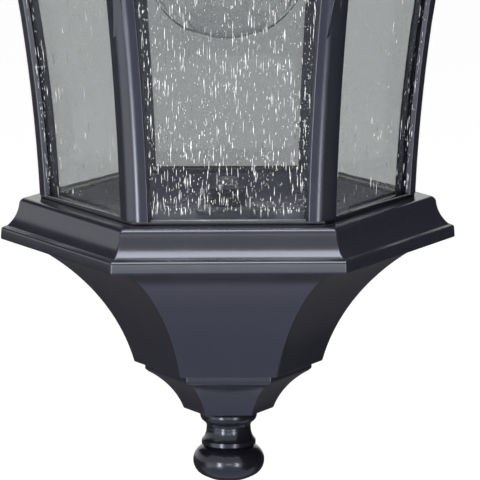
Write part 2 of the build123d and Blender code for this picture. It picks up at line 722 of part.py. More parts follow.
def plate_block(width, height, depth, inset):
    """Moulded rectangular block on Y = 0 towards -Y: rim, cove and flat face, mitred at its corners."""
    def slab(half):
        outer = half - inset
        rim, step = PLATE_RIM, PLATE_STEP
        face = outer - step
        right = path((0, 0), (outer, 0), (outer, rim), (face + EDGE_ROUND, depth - EDGE_ROUND, PLATE_SAG),
                     (face, depth, -EDGE_ROUND / 4), (0, depth))
        left = [edge.mirror(Plane.YZ) for edge in right]
        return extrude(make_face(right + left), amount=REACH / 2, both=True)
    across = slab(width / 2)
    along = slab(height / 2).rotate(Axis.Y, 90)
    return (across & along).rotate(Axis.X, 180)


def backplate():
    solid = plate_block(PLATE_WIDTH, PLATE_HEIGHT, PLATE_DEPTH, 0)
    hollow = plate_block(PLATE_WIDTH, PLATE_HEIGHT, PLATE_DEPTH - PLATE_WALL, PLATE_WALL)
    solid = Pos(0, -GASKET_THICK, 0) * (solid - hollow)
    for level in stud_levels():
        solid -= stud_place(level) * cylinder_between(STUD_RADIUS + GAP, 0, REACH / 4)
    inlet = cylinder_between(ARM_RADIUS - ARM_WALL, -REACH / 8, REACH / 8)
    solid -= arm_seat() * inlet
    for side in (1, -1):
        solid -= arm_seat() * Pos(side * flange_screw_offset(), 0, 0) * cylinder_between(
            CORNICE_SCREW + BORE_PLAY, -REACH / 8, 1)
    return solid


def backplate_gasket():
    width = PLATE_WIDTH / 2 - CHAMFER
    height = PLATE_HEIGHT / 2 - CHAMFER
    outer = box_between((-width, -GASKET_THICK, -height), (width, 0, height))
    width -= GASKET_WIDTH
    height -= GASKET_WIDTH
    return outer - box_between((-width, -GASKET_THICK - 1, -height), (width, 1, height))


def stud_levels():
    return [STUD_SPACING / 2, -STUD_SPACING / 2]


def stud_place(level):
    """A piece drawn along Z stands out of the wall plane at this level."""
    return Pos(0, 0, level) * Rot(90, 0, 0)


def crossbar():
    half = CROSSBAR_WIDTH / 2
    long_half = CROSSBAR_LENGTH / 2
    bar = box_between((-half, -CROSSBAR_SHEET, -long_half), (half, 0, long_half))
    bar = fillet(bar.edges().filter_by(Axis.Y), half * 0.45)
    slot = extrude(SlotOverall(SLOT_LENGTH, SLOT_WIDTH, rotation=90), amount=REACH / 8, both=True)
    for level in (BOX_SPACING / 2, -BOX_SPACING / 2):
        bar -= stud_place(level) * slot
    for level in stud_levels():
        bar -= stud_place(level) * cylinder_between(STUD_RADIUS + BORE_PLAY, -1, CROSSBAR_SHEET + 1)
    bar -= stud_place(0) * cylinder_between(CENTRE_HOLE, -1, CROSSBAR_SHEET + 1)
    return bar - ground_place() * cylinder_between(STUD_RADIUS + BORE_PLAY, -CROSSBAR_SHEET - 1, 1)


def fixture_studs():
    length = PLATE_FACE + STUD_REACH
    return [stud_place(level) * cylinder_between(STUD_RADIUS, 0, length) for level in stud_levels()]


def stud_nuts():
    """Jam nuts that lock the studs on the crossbar's outer face."""
    low, high = CROSSBAR_SHEET, CROSSBAR_SHEET + STUD_NUT_HEIGHT
    bore = cylinder_between(STUD_RADIUS + BORE_PLAY, low - 1, high + 1)
    nut = hex_between(STUD_NUT_FLATS, low, high) - bore
    return [stud_place(level) * nut for level in stud_levels()]


def ground_place():
    return Pos(0, -CROSSBAR_SHEET, BOX_SPACING / 4) * Rot(90, 0, 0)


def ground_screw():
    return ground_place() * pan_screw(STUD_RADIUS, CROSSBAR_SHEET)


def cap_nut(level):
    """Domed nut on a stud, against the wall plate's face."""
    radius = CAP_NUT_RADIUS
    low = PLATE_FACE + GAP / 2
    high = low + CAP_NUT_HEIGHT
    dome = high - radius * 0.8
    nut = turned((0, low), (radius, low), (radius, low + 1.6), (radius * 0.8, low + 2.2),
                 (radius * 0.8, dome), (0, high, -DOME_SAG * radius * 0.8))
    nut -= cylinder_between(STUD_RADIUS + RUNNING_FIT, low - 1, PLATE_FACE + STUD_REACH + GAP)
    return stud_place(level) * nut


# ---- Lamp pipe and lampholder -------------------------------------------------------------------

def pipe_bottom():
    return HOLDER_TOP + HOLDER_CAP_HEIGHT - HOLDER_CAP_NECK


def lamp_pipe():
    top = HUB_TOP + FINIAL_BORE_DEPTH - GAP
    pipe = tube_between(PIPE_RADIUS, PIPE_BORE, pipe_bottom(), top)
    window = Pos(0, 0, HUB_MIDDLE) * Rot(-90, 0, 0) * cylinder_between(2.5, 0, PIPE_RADIUS + 2)
    return pipe - window


def pipe_locknuts():
    """One nut under the roof's neck, one on the lampholder's cap."""
    neck_under = ROOF_TOP - NECK_TOP
    nuts = []
    for low in (neck_under - LOCKNUT_HEIGHT, HOLDER_TOP + HOLDER_CAP_HEIGHT):
        nut = hex_between(LOCKNUT_FLATS, low, low + LOCKNUT_HEIGHT)
        nuts.append(nut - cylinder_between(PIPE_RADIUS + BORE_PLAY, low - 1, low + LOCKNUT_HEIGHT + 1))
    return nuts


def lampholder_cap():
    """Pressed cap that closes the lampholder and threads on the lamp pipe."""
    low, high = HOLDER_TOP, HOLDER_TOP + HOLDER_CAP_HEIGHT
    outer = HOLDER_RADIUS
    sheet = HOLDER_CAP_SHEET
    neck = PIPE_RADIUS + HOLDER_CAP_NECK
    ceiling = high - HOLDER_CAP_NECK - CHAMFER
    cap = turned((0, low), (outer, low), (outer, low + 2 * sheet), (neck + sheet, high - 2 * sheet, -sheet),
                 (neck, high), (0, high))
    cap -= turned((0, low - 1), (outer - sheet, low - 1), (outer - sheet, low + sheet),
                  (neck, ceiling, -sheet), (0, ceiling))
    return cap - cylinder_between(PIPE_RADIUS + BORE_PLAY, low, high + 1)


def shell_bore():
    return CAP_RADIUS + SHELL_PLAY


def lampholder():
    """Moulded body, open below, with a floor over the screw shell and a small hole for the wires."""
    low, high = HOLDER_BOTTOM, HOLDER_TOP
    body = turned((0, low), (HOLDER_RADIUS - CHAMFER, low), (HOLDER_RADIUS, low + CHAMFER),
                  (HOLDER_RADIUS, high), (0, high))
    bore = shell_bore() + SHELL_SHEET
    body -= cylinder_between(bore, low - 1, holder_floor())
    body -= cylinder_between(PIPE_BORE, holder_floor() - 1, high + 1)
    groove = low + HOLDER_GROOVE_AT
    return body - tube_between(HOLDER_RADIUS + 1, HOLDER_RADIUS - CHAMFER, groove, groove + 2 * CHAMFER)


def holder_floor():
    return HOLDER_TOP - HOLDER_FLOOR


def screw_shell():
    low = HOLDER_BOTTOM + 2 * HOLDER_CAP_SHEET
    high = holder_floor() - HOLDER_CAP_SHEET
    return tube_between(shell_bore() + SHELL_SHEET, shell_bore(), low, high)


def centre_contact():
    """Spring leaf over the lamp's tip, with its rivet through the holder's floor."""
    low = LAMP_TOP + GAP
    seat = holder_floor()
    leaf = cylinder_between(2 * PIPE_BORE, low, low + SHELL_SHEET)
    spacer = cylinder_between(PIPE_BORE - GAP, low + SHELL_SHEET, seat)
    rivet = cylinder_between(PIPE_BORE, seat, seat + 2 * SHELL_SHEET)
    return leaf + spacer + rivet


def lamp_levels():
    """Centre of the round end, and where the neck meets the cap."""
    return LAMP_TIP + LAMP_RADIUS, LAMP_TOP - CAP_LENGTH - INSULATOR_HEIGHT / 2


def cap_top():
    return LAMP_TOP - INSULATOR_HEIGHT


def lamp_glass():
    """Clear shell, a sphere running into a tapered neck that ends inside the cap."""
    middle, neck = lamp_levels()
    top = neck + CAP_OVERLAP
    neck_radius = CAP_RADIUS - CAP_SHEET
    shoulder = radians(LAMP_SHOULDER)
    shells = []
    for wall in (0, LAMP_WALL):
        radius = LAMP_RADIUS - wall
        x, z = radius * cos(shoulder), middle + radius * sin(shoulder)
        round_end = ThreePointArc((0, middle - radius), (radius, middle), (x, z))
        cone = path((x, z), (neck_radius - wall, neck, LAMP_NECK_SAG), (neck_radius - wall, top), (0, top),
                    (0, middle - radius))
        shells.append(revolve(Plane.XZ * make_face([round_end] + cone), Axis.Z))
    return shells[0] - shells[1]


def lamp_cap():
    """Screw cap, closed above towards the insulator."""
    low, high = lamp_levels()[1], cap_top()
    bore = CAP_RADIUS - CAP_SHEET
    neck = INSULATOR_RADIUS - 2 * CAP_SHEET
    ceiling = high - CAP_SHEET
    cap = turned((0, low), (CAP_RADIUS, low), (CAP_RADIUS, high - INSULATOR_HEIGHT), (INSULATOR_RADIUS, high),
                 (0, high))
    cap -= turned((0, low - 1), (bore, low - 1), (bore, high - INSULATOR_HEIGHT - CAP_SHEET / 2),
                  (INSULATOR_RADIUS, ceiling), (neck, ceiling), (neck, high + 1), (0, high + 1))
    return cap


def lamp_insulator():
    low, high = cap_top(), LAMP_TOP - CONTACT_HEIGHT
    neck = INSULATOR_RADIUS - 2 * CAP_SHEET
    return turned((0, low - CAP_SHEET), (neck, low - CAP_SHEET), (neck, low), (INSULATOR_RADIUS, low),
                  (CONTACT_RADIUS, high), (0, high))


def lamp_contact():
    low, high = LAMP_TOP - CONTACT_HEIGHT, LAMP_TOP
    edge = CONTACT_RADIUS * 0.75
    return turned((0, low), (CONTACT_RADIUS, low), (edge, high, -CONTACT_HEIGHT / 4), (0, high))


def lamp_stem():
    """Glass flare and rod inside the lamp, with the exhaust button at its end."""
    middle, neck = lamp_levels()
    rim = CAP_RADIUS - CAP_SHEET - LAMP_WALL
    top = neck + CAP_OVERLAP - LAMP_WALL
    foot = neck - STEM_FLARE
    end = middle + STEM_END
    half = (STEM_BUTTON - STEM_RADIUS) * 2
    return turned((0, top), (rim, top), (rim, top - LAMP_WALL),
                  (2 * STEM_RADIUS, foot + STEM_FLARE / 3, -3 * LAMP_WALL), (STEM_RADIUS, foot),
                  (STEM_RADIUS, end + half), (STEM_BUTTON, end + half / 2), (STEM_BUTTON, end - half / 2),
                  (STEM_RADIUS, end - half), (0, end - half))


def filament():
    """Two lead wires and a zigzag filament between them, round the stem's end."""
    middle, neck = lamp_levels()
    level = middle + FILAMENT_WAVE
    foot = neck - STEM_FLARE
    out = STEM_RADIUS + LEAD_RADIUS
    half = FILAMENT_SPREAD / 2
    route = Polyline((-out, foot), (-FILAMENT_SPREAD, level), (-half, level - FILAMENT_WAVE), (0, level),
                     (half, level - FILAMENT_WAVE), (FILAMENT_SPREAD, level), (out, foot))
    start = (Align.CENTER, Align.CENTER, Align.MIN)
    wire = None
    for edge in (Plane.XZ * route).edges():
        piece = Plane(origin=edge @ 0, z_dir=edge % 0) * Cylinder(LEAD_RADIUS, edge.length, align=start)
        wire = piece if wire is None else wire + piece
        wire += Pos(*(edge @ 0)) * Sphere(LEAD_RADIUS)
    return wire


# ---- Nodes --------------------------------------------------------------------------------------

def nodes():
    """Every sub-part by name: those on the lantern's axis first, then those on the wall."""
    on_axis = {
        "base_moulding": base_moulding(), "base_pan": base_pan(), "bowl": bowl(), "cup": cup(),
        "bottom_finial": finial(FINIAL_SEAT, 1, ROD_RADIUS + RUNNING_FIT), "tie_rod": tie_rod(),
        "hex_nut": hex_nut(), "fender_washer": fender_washer(), "lock_strap": lock_strap(),
        "bottom_rail": bottom_rail(), "top_rail": top_rail(),
        "foot_screws": foot_screws(), "head_screws": head_screws(),
        "roof_cornice": roof_cornice(), "roof": roof(), "cornice_screws": cornice_screws(),
        "roof_crown": roof_crown(), "arm_hub": arm_hub(),
        "top_finial": finial(HUB_TOP, -1, PIPE_RADIUS + RUNNING_FIT),
        "lamp_pipe": lamp_pipe(), "pipe_locknuts": pipe_locknuts(),
        "lampholder_cap": lampholder_cap(), "lampholder": lampholder(), "screw_shell": screw_shell(),
        "centre_contact": centre_contact(), "lamp_glass": lamp_glass(), "lamp_cap": lamp_cap(),
        "lamp_insulator": lamp_insulator(), "lamp_contact": lamp_contact(), "lamp_stem": lamp_stem(),
        "filament": filament(),
    }
    for k in range(6):
        on_axis[f"post_{k + 1}"] = corner_post(k)
        on_axis[f"glass_{k + 1}"] = glass_pane(k)
    for k in range(3):
        on_axis[f"thumb_screw_{k + 1}"] = thumb_screw(k)
    on_wall = {
        "arm": arm(), "arm_flange": arm_flange(), "flange_screws": flange_screws(),
        "wire_bushing": wire_bushing(), "backplate": backplate(), "backplate_gasket": backplate_gasket(),
        "crossbar": crossbar(), "fixture_studs": fixture_studs(), "stud_nuts": stud_nuts(),
        "ground_screw": ground_screw(), "cap_nut_upper": cap_nut(stud_levels()[0]),
        "cap_nut_lower": cap_nut(stud_levels()[1]),
    }
    place = Pos(0, -PROJECTION, -DROP)
    placed = {name: [place * solid for solid in as_list(shape)] for name, shape in on_axis.items()}
    placed.update({name: as_list(shape) for name, shape in on_wall.items()})
    return placed


def as_list(shape):
    return list(shape) if isinstance(shape, list) else [shape]


os.makedirs("parts", exist_ok=True)
for node, shapes in nodes().items():
    solids = [solid for shape in shapes for solid in shape.solids()]
    whole = solids[0] if len(solids) == 1 else Compound(children=solids)
    export_step(whole, f"parts/{node}.step")
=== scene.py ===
import bmesh
import bpy
import json
from math import atan2, cos, pi, radians, sin, tan
from mathutils import Matrix, Vector
from mathutils.noise import noise
from mathutils.bvhtree import BVHTree
from random import Random

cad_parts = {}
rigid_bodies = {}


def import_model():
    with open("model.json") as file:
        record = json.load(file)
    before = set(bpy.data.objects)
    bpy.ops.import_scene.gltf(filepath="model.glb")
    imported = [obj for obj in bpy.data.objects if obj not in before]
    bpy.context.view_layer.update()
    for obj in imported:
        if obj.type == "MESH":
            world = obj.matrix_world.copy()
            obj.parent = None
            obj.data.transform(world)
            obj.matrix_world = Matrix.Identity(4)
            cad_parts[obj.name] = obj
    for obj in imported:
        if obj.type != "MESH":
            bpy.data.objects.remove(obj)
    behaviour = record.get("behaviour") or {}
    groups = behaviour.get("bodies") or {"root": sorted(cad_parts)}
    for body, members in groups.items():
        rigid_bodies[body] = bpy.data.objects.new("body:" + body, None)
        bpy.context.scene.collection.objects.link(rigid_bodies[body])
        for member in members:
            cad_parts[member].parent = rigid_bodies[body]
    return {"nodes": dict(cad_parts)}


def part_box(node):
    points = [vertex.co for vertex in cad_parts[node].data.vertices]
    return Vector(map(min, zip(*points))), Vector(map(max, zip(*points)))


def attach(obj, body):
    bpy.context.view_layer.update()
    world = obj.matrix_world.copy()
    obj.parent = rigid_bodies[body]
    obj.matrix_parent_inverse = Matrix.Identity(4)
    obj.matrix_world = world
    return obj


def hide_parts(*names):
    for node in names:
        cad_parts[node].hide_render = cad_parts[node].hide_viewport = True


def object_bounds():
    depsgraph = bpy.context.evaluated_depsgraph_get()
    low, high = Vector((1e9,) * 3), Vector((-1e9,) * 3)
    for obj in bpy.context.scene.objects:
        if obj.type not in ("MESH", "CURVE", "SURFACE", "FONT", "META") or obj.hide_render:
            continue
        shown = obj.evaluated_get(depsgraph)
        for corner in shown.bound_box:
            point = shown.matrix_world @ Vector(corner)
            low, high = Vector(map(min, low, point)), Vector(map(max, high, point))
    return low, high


# Looks of the outdoor wall lantern, in metres.  The CAD nodes keep their shapes and get their
# finishes here.  Copies with eased edges stand for the castings, the pressings, the posts and the
# hex nut.  The seeds in the glass, the sealant under the panes and the tie rod's thread are made
# here as well.

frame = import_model()
cad_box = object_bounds()
nodes = frame["nodes"]

MM = 0.001
UP = Vector((0, 0, 1))
WHITE = (1, 1, 1, 1)


# ---- Shader nodes as expressions ----------------------------------------------------------------

class Socket:
    """A node's output that adds Math nodes when it is used in an expression."""

    def __init__(self, finish, output):
        self.finish = finish
        self.output = output

    def maths(self, operation, first, second):
        settings = {"operation": operation}
        return self.finish.node("ShaderNodeMath", settings, {0: first, 1: second})

    def __add__(self, other):
        return self.maths("ADD", self, other)

    __radd__ = __add__

    def __sub__(self, other):
        return self.maths("SUBTRACT", self, other)

    def __rsub__(self, other):
        return self.maths("SUBTRACT", other, self)

    def __mul__(self, other):
        return self.maths("MULTIPLY", self, other)

    __rmul__ = __mul__


class Finish:
    """A material or a world, and the nodes that make it."""

    def __init__(self, owner):
        self.owner = owner
        owner.use_nodes = True
        self.tree = owner.node_tree
        self.tree.nodes.clear()

    def node(self, kind, settings, sockets, output=0):
        """Adds a node: its settings first, then its sockets' values or links, by name or number."""
        made = self.tree.nodes.new(kind)
        for setting, value in settings.items():
            if setting == "stops":
                for element, (place, shade) in zip(made.color_ramp.elements, value):
                    element.position = place
                    element.color = (shade, shade, shade, 1)
            else:
                setattr(made, setting, value)
        for place, value in sockets.items():
            if isinstance(value, Socket):
                self.tree.links.new(value.output, made.inputs[place])
            else:
                made.inputs[place].default_value = value
        return None if output is None else Socket(self, made.outputs[output])

    def noise(self, size, detail=3.0, scale=(1, 1, 1)):
        """Soft noise from 0 to 1 whose features are about this many metres across.

        A scale below 1 draws them out along that axis, and one above 1 squeezes them.
        """
        here = self.node("ShaderNodeTexCoord", {}, {}, "Object")
        place = self.node("ShaderNodeMapping", {}, {"Vector": here, "Scale": scale})
        return self.node("ShaderNodeTexNoise", {}, {
            "Vector": place, "Scale": 1 / size, "Detail": detail, "Roughness": 0.55})

    def ramp(self, value, low, high):
        """0 up to low, 1 from high, straight between."""
        return self.node("ShaderNodeValToRGB", {"stops": ((low, 0), (high, 1))}, {"Fac": value})

    def blend(self, factor, first, second):
        """Colour between first and second."""
        settings = {"data_type": "RGBA"}
        return self.node("ShaderNodeMix", settings, {0: factor, 6: first, 7: second}, 2)

    def bump(self, height, depth, strength=1.0):
        sockets = {"Height": height, "Distance": depth, "Strength": strength}
        return self.node("ShaderNodeBump", {}, sockets)

    def shader(self, sockets):
        return self.node("ShaderNodeBsdfPrincipled", {}, sockets)

    def done(self, surface, kind="ShaderNodeOutputMaterial"):
        self.node(kind, {}, {"Surface": surface}, None)
        return self.owner


def material(name):
    return Finish(bpy.data.materials.new(name))


def grey(shade, blue=0.0):
    return (shade, shade, shade * (1 + blue), 1)


def darkened(colour, share):
    return tuple(part * share for part in colour[:3]) + (1,)


# ---- Finishes -----------------------------------------------------------------------------------
# A dulling is how much rougher a pattern makes the surface, from its one end to its other.

PAINT_BLUE = 0.50             # how much more blue than red and green the black paint sends back
PAINT_GLOSS = (0.83, 0.865, 1.0, 1)     # tint of what it mirrors
PEEL_DEPTH = 0.012 * MM
CLOUD_SIZE = 14 * MM
CLOUD_SHADE = 0.15            # share of the paint's shade, up and down
CLOUD_DULLING = 0.10
DUST_SIZE = 0.35 * MM
DUST_NOISE = (0.66, 0.74)     # noise at which a speck begins and is whole
DUST_SHADE = 2.5              # times the paint's
DUST_COVER = 0.12             # how much of its shade shows
DUST_DULLING = 0.06


def black_paint(name, shade, roughness, grain):
    """Paint on metal: a fine orange peel, faint clouding and a little dust in its gloss."""
    paint = material(name)
    peel = paint.noise(grain, detail=2.0)
    cloud = paint.noise(CLOUD_SIZE, detail=4.0)
    speck = paint.ramp(paint.noise(DUST_SIZE, detail=1.0), *DUST_NOISE)
    darker = grey(shade * (1 - CLOUD_SHADE), PAINT_BLUE)
    lighter = grey(shade * (1 + CLOUD_SHADE), PAINT_BLUE)
    dusty = grey(shade * DUST_SHADE, PAINT_BLUE / 2)
    return paint.done(paint.shader({
        "Base Color": paint.blend(speck * DUST_COVER, paint.blend(cloud, darker, lighter), dusty),
        "Roughness": roughness + (cloud - 0.5) * CLOUD_DULLING + speck * DUST_DULLING,
        "IOR": 1.55,
        "Specular Tint": PAINT_GLOSS,
        "Normal": paint.bump(peel, PEEL_DEPTH, strength=0.4),
    }))


LINE_SIZE = 0.6 * MM          # fine drawn lines of bright metal
LINE_SCALE = (1, 1, 12)
LINE_DEPTH = 0.02 * MM
LINE_DULLING = 0.12
TARNISH_SIZE = 6 * MM
TARNISH_NOISE = (0.40, 0.75)  # noise at which a stain begins and is whole
TARNISH_SHADE = 0.55          # of the clean metal's
TARNISH_COVER = 0.25
TARNISH_DULLING = 0.08


def plated(name, colour, roughness):
    """Bright metal with fine drawn lines and a faint uneven tarnish."""
    metal = material(name)
    lines = metal.noise(LINE_SIZE, detail=2.0, scale=LINE_SCALE)
    stain = metal.ramp(metal.noise(TARNISH_SIZE, detail=4.0), *TARNISH_NOISE)
    dull = darkened(colour, TARNISH_SHADE)
    return metal.done(metal.shader({
        "Base Color": metal.blend(stain * TARNISH_COVER, colour, dull),
        "Metallic": 1.0,
        "Roughness": roughness + (lines - 0.5) * LINE_DULLING + stain * TARNISH_DULLING,
        "Normal": metal.bump(lines, LINE_DEPTH, strength=0.4),
    }))


GRAIN_DEPTH = 0.03 * MM
GRAIN_DULLING = 0.16
MARBLING_SIZE = 9 * MM
MARBLING_SHADE = 0.8          # of the colour, where it is darkest


def moulded(name, colour, roughness, grain=0.9 * MM):
    """Plain moulded plastic or rubber with a fine moulded grain."""
    plastic = material(name)
    texture = plastic.noise(grain)
    marbling = plastic.noise(MARBLING_SIZE)
    return plastic.done(plastic.shader({
        "Base Color": plastic.blend(marbling, darkened(colour, MARBLING_SHADE), colour),
        "Roughness": roughness + (texture - 0.5) * GRAIN_DULLING,
        "Normal": plastic.bump(texture, GRAIN_DEPTH, strength=0.5),
    }))


WAVE_SCALE = (1, 1, 0.22)     # the glass was drawn upright
GLASS_INDEX = 1.45


def clear(name, square_on, edge_on, wave, depth):
    """Clear glass with drawn waves, with its colour seen square on and edge on.

    Its shadow lets the light through, tinted as the glass is.
    """
    glass = material(name)
    waves = glass.noise(wave, detail=1.5, scale=WAVE_SCALE)
    # Where the edge-on colour is the lighter one, the blend is painted light that lightens the
    # glass seen slantwise.
    slant = glass.node("ShaderNodeLayerWeight", {}, {"Blend": 0.5}, "Facing")
    colour = glass.blend(slant, square_on, edge_on)
    body = glass.shader({
        "Base Color": colour,
        "Roughness": 0.0,
        "IOR": GLASS_INDEX,
        "Transmission Weight": 1.0,
        "Normal": glass.bump(waves, depth),
    })
    shade = glass.node("ShaderNodeBsdfTransparent", {}, {"Color": colour})
    shadow_ray = glass.node("ShaderNodeLightPath", {}, {}, "Is Shadow Ray")
    return glass.done(glass.node("ShaderNodeMixShader", {}, {0: shadow_ray, 1: body, 2: shade}))


# The seeds' colour is a painted glint: grey and white patches and a faint glow stand in for
# reflected light.
GLINT_PATCH = 1.6 * MM         # size of the dark and bright patches on the seeds
GLINT_NOISE = (0.40, 0.72)     # noise up to which they are dark and from which they are bright
GLINT_SHADES = (0.36, 0.92)


def bubble_painted_glint(name):
    """Painted glint of a bubble drawn out in the glass: its grey and white patches and its faint
    glow stand in for the light that its skin reflects.
    """
    seed = material(name)
    patch = seed.ramp(seed.noise(GLINT_PATCH, detail=1.0), *GLINT_NOISE)
    dark, bright = GLINT_SHADES
    shade = seed.blend(patch, grey(dark), grey(bright))
    return seed.done(seed.shader({
        "Base Color": shade,
        "Roughness": 0.25,
        "IOR": 1.3,
        # painted glow: the seed shines by itself, though it is no lamp
        "Emission Color": shade,
        "Emission Strength": 0.35,
    }))


finishes = {
    "cast_black": black_paint("satin_black_paint", shade=0.011, roughness=0.21, grain=1.2 * MM),
    "turned_black": black_paint("semi_gloss_black_paint", shade=0.005, roughness=0.22,
                                grain=1.6 * MM),
    "arm_black": black_paint("arm_black_paint", shade=0.011, roughness=0.27, grain=1.2 * MM),
    # The pan's paint, black like the rest, gets a much lighter shade: a painted reflection of the
    # bright surroundings in its gloss.
    "pan_black": black_paint("pan_black_paint", shade=0.10, roughness=0.28, grain=2.5 * MM),
    # The seeded panes' lighter edge-on colour is painted light on panes seen slantwise.
    "seeded_glass": clear("seeded_glass_body", (0.50, 0.51, 0.507, 1), (0.82, 0.84, 0.84, 1),
                          wave=26 * MM, depth=0.35 * MM),
    "lamp_clear": clear("lamp_glass_clear", WHITE, grey(0.92), wave=60 * MM, depth=0.05 * MM),
    "zinc_steel": plated("zinc_plate", (0.36, 0.37, 0.39, 1), roughness=0.36),
    "dark_nut": black_paint("blackened_steel", shade=0.003, roughness=0.45, grain=0.8 * MM),
    "brass": plated("plain_brass", (0.72, 0.52, 0.22, 1), roughness=0.28),
    "lamp_cap_metal": plated("lamp_cap_plate", (0.78, 0.77, 0.73, 1), roughness=0.30),
    "ground_green": moulded("green_screw_coat", (0.03, 0.22, 0.06, 1), roughness=0.35),
    "phenolic": moulded("black_phenolic", (0.012, 0.011, 0.010, 1), roughness=0.32),
    "bushing_plastic": moulded("white_bushing_plastic", (0.70, 0.70, 0.66, 1), roughness=0.45),
    "gasket_rubber": moulded("foam_rubber", (0.015, 0.015, 0.016, 1), roughness=0.85,
                             grain=0.5 * MM),
    "tungsten": plated("tungsten_wire", (0.40, 0.39, 0.38, 1), roughness=0.40),
}
# painted glint of the seeds
seed_painted_glint = bubble_painted_glint("glass_seeds")
sealant_finish = moulded("clear_sealant", (0.16, 0.17, 0.16, 1), roughness=0.25)

slots = {}
for name, node in nodes.items():
    for slot in node.material_slots:
        slots[name] = slot.material.name
        slot.material = finishes[slot.material.name]


# ---- Pieces made here ---------------------------------------------------------------------------

def linked(name, data):
    """A new object in the scene."""
    made = bpy.data.objects.new(name, data)
    bpy.context.scene.collection.objects.link(made)
    return made


def meshed(name, shape):
    """Turns a bmesh into a mesh."""
    mesh = bpy.data.meshes.new(name)
    shape.to_mesh(mesh)
    shape.free()
    return mesh


def finished(name, shape, look, body):
    """Turns a bmesh in the row frame into a smooth piece that rides on a body."""
    mesh = meshed(name, shape)
    mesh.shade_smooth()
    mesh.materials.append(look)
    piece = linked(name, mesh)
    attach(piece, body)
    return piece


def stand_in(name, node_name, shape):
    """Puts a piece in a CAD node's place, with the node's finish, slot and body."""
    slot_name = slots[node_name]
    body = nodes[node_name].parent.name.removeprefix("body:")
    piece = finished(name, shape, finishes[slot_name], body)
    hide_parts(node_name)
    return piece


EASED_BEND = radians(25)      # an edge's bend from here on is a corner, and below it a curve's
SHARP_BEND = radians(45)      # a corner is sharp from here on, and blunt below it
SIXTH = radians(60)           # between two of the lantern's corners
low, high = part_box("lamp_pipe")
AXIS = Vector(((low.x + high.x) / 2, (low.y + high.y) / 2, 0))


def creased(shape):
    """Shades every edge smooth but those that bend as much as a corner does."""
    for edge in shape.edges:
        edge.smooth = edge.calc_face_angle(0) < EASED_BEND


# Castings, pressings, posts and the nut with their edges eased
JOINED = 0.02 * MM            # points of a CAD mesh that are one point
FLAT = radians(0.3)           # bend between triangles of one flat face
COLLAPSED = 0.0001 * MM       # width of faces that are only a line
EASED_STEPS = 4
EASED_LENGTH = 5.5 * MM       # shorter edges belong to holes, unless they lie in a corner's plane
POST_LENGTH = 1.5 * MM        # shorter edges of a post stay as they are
POST_SLOPE = 0.8              # sine of the least slope of the edges along its flare
EASED_WIDTHS = {              # of blunt and of sharp edges, in mm
    "base_moulding": (0.7, 0.7),
    "bowl": (0.7, 0.7),
    "cup": (0.4, 0.4),
    "roof_cornice": (0.7, 0.7),
    "roof": (0.8, 0.8),
    "base_pan": (0.3, 0.3),
    "bottom_rail": (0.3, 0.3),
    "top_rail": (0.3, 0.3),
    "hex_nut": (0.35, 0.35),
    "backplate": (0.8, 0.8),
}
POST_WIDTHS = (1.7, 0.45)


def off_corner(point):
    """Distance of a point from the nearest upright plane through the axis and a corner."""
    flat = (point - AXIS).to_2d()
    turn = atan2(flat.y, flat.x) % SIXTH
    return flat.length * sin(min(turn, SIXTH - turn))


def eased_edge(edge, name):
    """Of a post only the edges along its flare; of other pieces all but the short ones of holes."""
    start, end = [corner.co for corner in edge.verts]
    if name.startswith("post_"):
        slope = abs((end - start).normalized().z)
        return slope > POST_SLOPE and edge.calc_length() > POST_LENGTH
    return edge.calc_length() > EASED_LENGTH or max(off_corner(start), off_corner(end)) < JOINED


def eased(name, blunt, sharp):
    """Stands for a CAD node: the same piece with its long edges rounded a little.

    Blunt and sharp edges have a width each.
    """
    shape = bmesh.new()
    shape.from_mesh(nodes[name].data)
    bmesh.ops.remove_doubles(shape, verts=shape.verts, dist=JOINED)
    bmesh.ops.dissolve_limit(shape, angle_limit=FLAT, verts=shape.verts, edges=shape.edges)
    for least, most, width in ((EASED_BEND, SHARP_BEND, blunt), (SHARP_BEND, pi, sharp)):
        edges = [edge for edge in shape.edges
                 if least < edge.calc_face_angle(0) <= most and eased_edge(edge, name)]
        bmesh.ops.bevel(shape, geom=edges, offset=width, offset_type="OFFSET", profile=0.5,
                        segments=EASED_STEPS, affect="EDGES", clamp_overlap=False, material=-1)
    bmesh.ops.dissolve_degenerate(shape, dist=COLLAPSED, edges=shape.edges)
    creased(shape)
    piece = stand_in(name + "_eased", name, shape)
    piece.modifiers.new("even_shading", "WEIGHTED_NORMAL").keep_sharp = True


EASED_WIDTHS.update((name, POST_WIDTHS) for name in nodes if name.startswith("post_"))
for name, (blunt, sharp) in EASED_WIDTHS.items():
    eased(name, blunt * MM, sharp * MM)


# Seeds: bubbles drawn out along each pane while the glass was soft
SEEDS = {"front": 2800, "rear": 900, "side": 300}
SEED_LENGTHS = (0.5 * MM, 6.0 * MM)
SEED_SHORTNESS = 4.2          # the higher, the more of them are short
SEED_WIDTHS = (0.10 * MM, 0.27 * MM)
SEED_SWELLING = (0.8, 1.3)    # times the width, for the shortest and for the longest
SEED_FLATNESS = 2 / 3         # thickness over width
SEED_LEAN = radians(2.0)
SEED_SINKING = 1.35           # the higher, the more of them lie low in the pane
SEED_GROUP = 9 * MM           # size of the crowds that they lie in
SEED_SPARING = (-0.9, 0.1)    # noise between which they thin out beyond the crowds
SEED_MARGIN = 0.6 * MM        # clear glass left along a pane's upright edges
SEED_BATCH = 60               # made before they join the others in one mesh
EDGE_SEEDS = {"front": 420, "rear": 300, "side": 110}   # small ones, along each upright edge
EDGE_SHORTNESS = 9
EDGE_CROWD = 5 * MM           # width of the strip that they lie in
EDGE_CROWDING = 1.5           # the higher, the more of them lie at its edge
POST_HALF = 3.1 * MM          # from the posts' corner plane to the edge of a pane, along the pane

